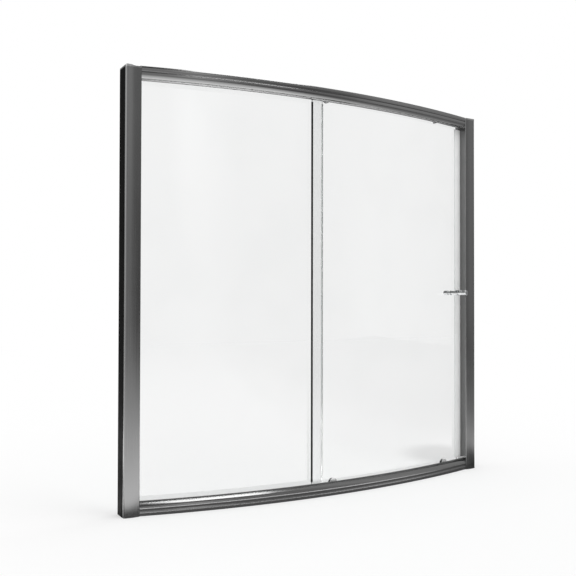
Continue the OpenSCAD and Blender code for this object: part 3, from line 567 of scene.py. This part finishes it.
def add_ramp(tree, value, levels):
    """The level at a value, from a list of values and levels."""
    low = levels[0][0]
    width = levels[-1][0] - low
    ramp = add_node(tree, "ShaderNodeValToRGB")
    stops = ramp.color_ramp.elements
    for spot, level in levels[1:-1]:
        stops.new((spot - low) / width)
    for stop, (spot, level) in zip(stops, levels):
        stop.position = (spot - low) / width
        stop.color = grey(level / tone_peak)
    share = calc(tree, "DIVIDE", calc(tree, "SUBTRACT", value, low), width)
    feed(tree, share, ramp.inputs["Fac"])
    return calc(tree, "MULTIPLY", ramp.outputs["Color"], tone_peak)


def add_seen(tree, path):
    """One for what the camera sees straight or through glass, with no mirror on the way."""
    unmirrored = calc(tree, "LESS_THAN", path.outputs["Glossy Depth"], 1.0)
    through = calc(tree, "MULTIPLY", path.outputs["Is Transmission Ray"], unmirrored)
    return calc(tree, "MAXIMUM", path.outputs["Is Camera Ray"], through)


def add_lamp_fall(tree, x, y):
    """The lamp's light on the floor, against the light of a small lamp right below it."""
    away_x = add_square(tree, x, lamp_place.x)
    total = 0.0
    for part in range(lamp_parts):
        part_y = lamp_place.y + lamp_length * ((part + 0.5) / lamp_parts - 0.5)
        away = calc(tree, "ADD", away_x, add_square(tree, y, part_y))
        spent = calc(tree, "DIVIDE", away, lamp_place.z ** 2)
        total = calc(tree, "ADD", total, calc(tree, "POWER", calc(tree, "ADD", spent, 1.0), -2.0))
    return calc(tree, "DIVIDE", total, lamp_parts)


def add_even_white(tree, x, y):
    """The glow that makes the floor white where the lamp and the room light it."""
    lamp_share = floor_tone * lamp_glow * lamp_width * lamp_length / lamp_place.z ** 2 / math.pi
    lamp_part = calc(tree, "MULTIPLY", add_lamp_fall(tree, x, y), lamp_share)
    return calc(tree, "SUBTRACT", 1.0 - floor_tone * room_light, lamp_part)


def add_front_floor(tree, x, y):
    """How bright the floor in front of the door is in a mirror."""
    ahead = calc(tree, "SUBTRACT", add_distance(tree, x, y, 0.0, arc_centre_y), rail_radius)
    ahead = calc(tree, "MAXIMUM", ahead, 0.0)
    fading = calc(tree, "DIVIDE", spread(tree, ahead, front_start, front_full, front_least, 1.0),
                  calc(tree, "ADD", calc(tree, "MULTIPLY", ahead, front_fall), 1.0))
    fading = calc(tree, "MULTIPLY", fading, spread(tree, y, front_last, front_end, 1.0, 0.0))
    return calc(tree, "MULTIPLY", fading, add_ramp(tree, x, front_floor))


def add_back_floor(tree, x, y):
    """How bright the floor behind the door is in a mirror."""
    inside = calc(tree, "MULTIPLY", spread(tree, y, 0.0, back_full),
                  spread(tree, y, back_last, back_end, 1.0, back_least))
    return calc(tree, "MULTIPLY", inside, add_ramp(tree, x, back_floor))


def make_floor():
    """A pale floor with one even white where it is seen straight or through glass. In the mirror
    of metal it is bright on the left, in front of the door and behind it."""
    sheet = bmesh.new()
    bmesh.ops.create_grid(sheet, x_segments=1, y_segments=1, size=floor_half,
                          matrix=Matrix.Translation((0, 0, cad_box[0].z - floor_drop)))
    mesh = bpy.data.meshes.new("studio_floor")
    sheet.to_mesh(mesh)
    sheet.free()
    material, tree, shader, place = new_material("studio_floor", Roughness=0.9, Specular_IOR_Level=0.0,
                                                 Emission_Color=grey(1.0))
    path = add_node(tree, "ShaderNodeLightPath")
    seen = add_seen(tree, path)
    x, y = split_place(tree, place)[:2]
    bright = calc(tree, "MAXIMUM", add_front_floor(tree, x, y), add_back_floor(tree, x, y))
    for spot_x, spot_y, near, far, level in dark_spots:
        away = add_distance(tree, x, y, spot_x, spot_y)
        bright = calc(tree, "MULTIPLY", bright, spread(tree, away, near, far, level, 1.0))
    in_mirror = calc(tree, "MULTIPLY", path.outputs["Is Glossy Ray"], calc(tree, "SUBTRACT", 1.0, seen))
    glow = calc(tree, "ADD", calc(tree, "MULTIPLY", seen, add_even_white(tree, x, y)),
                calc(tree, "MULTIPLY", in_mirror, bright))
    bounce = calc(tree, "MULTIPLY", path.outputs["Is Diffuse Ray"], floor_bounce)
    feed(tree, calc(tree, "ADD", glow, bounce), shader.inputs["Emission Strength"])
    lit_tone = calc(tree, "MULTIPLY", calc(tree, "SUBTRACT", 1.0, in_mirror), floor_tone)
    feed(tree, lit_tone, shader.inputs["Base Color"])
    mesh.materials.append(material)
    floor = bpy.data.objects.new("studio_floor", mesh)
    bpy.context.scene.collection.objects.link(floor)


def make_lamp():
    """A long soft lamp over the front of the door; its glow is what it looks like in a mirror."""
    data = bpy.data.lights.new("top_lamp", "AREA")
    data.shape = "RECTANGLE"
    data.size = lamp_width
    data.size_y = lamp_length
    data.energy = lamp_glow * math.pi * lamp_width * lamp_length
    lamp = bpy.data.objects.new("top_lamp", data)
    bpy.context.scene.collection.objects.link(lamp)
    lamp.location = lamp_place


# How bright the studio is in a mirror, by the angle round the object: 0 is in front of it,
# 90 to its right, and 180 behind it. One ring lies at eye height and one above it.
eye_ring = [
    (-180, 0.9), (-165, 0.2), (-150, 0.1), (-137, 0.16), (-110, 0.25), (-95, 1.2), (-60, 1.2),
    (-40, 0.65), (-20, 0.5), (-5, 0.45), (4, 0.52), (12, 0.24), (18, 0.24), (25, 0.15), (32, 0.22),
    (43, 0.52), (64, 0.45), (76, 0.1), (95, 0.08), (118, 0.4), (148, 0.5), (160, 0.9), (180, 0.9),
]
upper_ring = [
    (-180, 0.9), (-165, 0.24), (-150, 0.12), (-137, 0.2), (-110, 0.28), (-95, 1.6), (-60, 1.6),
    (-40, 1.0), (-20, 0.8), (-8, 0.5), (-3, 0.5), (1, 1.0), (5, 0.85), (9, 0.58), (13, 0.38),
    (24, 0.42), (32, 0.35), (49, 0.58), (64, 0.5), (95, 0.5), (118, 0.4), (148, 0.5), (160, 0.9),
    (180, 0.9),
]

# Heights of the look upwards, as the sine of its angle: from the lower ring to the upper one,
# and from there to the ceiling
ring_low = 0.03
ring_high = 0.24
ceiling_low = 0.3
ceiling_high = 0.65

# The ceiling against the walls below it, from its dark left to its light right
ceiling_left = -0.3
ceiling_right = 0.6
ceiling_dark = 0.05


def make_room():
    """White where it is seen straight or through glass; in the mirror of metal and glass, a
    studio with a bright left window, a pale front and a dim right and ceiling."""
    world = bpy.data.worlds.new("studio")
    bpy.context.scene.world = world
    world.use_nodes = True
    tree = world.node_tree
    background = tree.nodes["Background"]
    path = add_node(tree, "ShaderNodeLightPath")
    x, y, z = split_place(tree, add_node(tree, "ShaderNodeTexCoord").outputs["Generated"])
    turned = calc(tree, "ARCTAN2", x, calc(tree, "MULTIPLY", y, -1.0))
    angle = calc(tree, "MULTIPLY", turned, math.degrees(1))
    raised = spread(tree, z, ring_low, ring_high)
    low = calc(tree, "MULTIPLY", add_ramp(tree, angle, eye_ring), calc(tree, "SUBTRACT", 1.0, raised))
    high = calc(tree, "MULTIPLY", add_ramp(tree, angle, upper_ring), raised)
    ceiling = spread(tree, x, ceiling_left, ceiling_right, ceiling_dark, 1.0)
    mirrored = calc(tree, "MULTIPLY", calc(tree, "ADD", low, high),
                    spread(tree, z, ceiling_low, ceiling_high, 1.0, ceiling))
    seen = add_seen(tree, path)
    glossy = path.outputs["Is Glossy Ray"]
    shown = calc(tree, "ADD", calc(tree, "MULTIPLY", glossy, mirrored),
                 calc(tree, "MULTIPLY", calc(tree, "SUBTRACT", 1.0, glossy), room_light))
    strength = calc(tree, "ADD", seen,
                    calc(tree, "MULTIPLY", calc(tree, "SUBTRACT", 1.0, seen), shown))
    background.inputs["Color"].default_value = grey(1.0)
    feed(tree, strength, background.inputs["Strength"])


make_camera()
make_floor()
make_lamp()
make_room()

bpy.context.scene.view_settings.view_transform = "Standard"
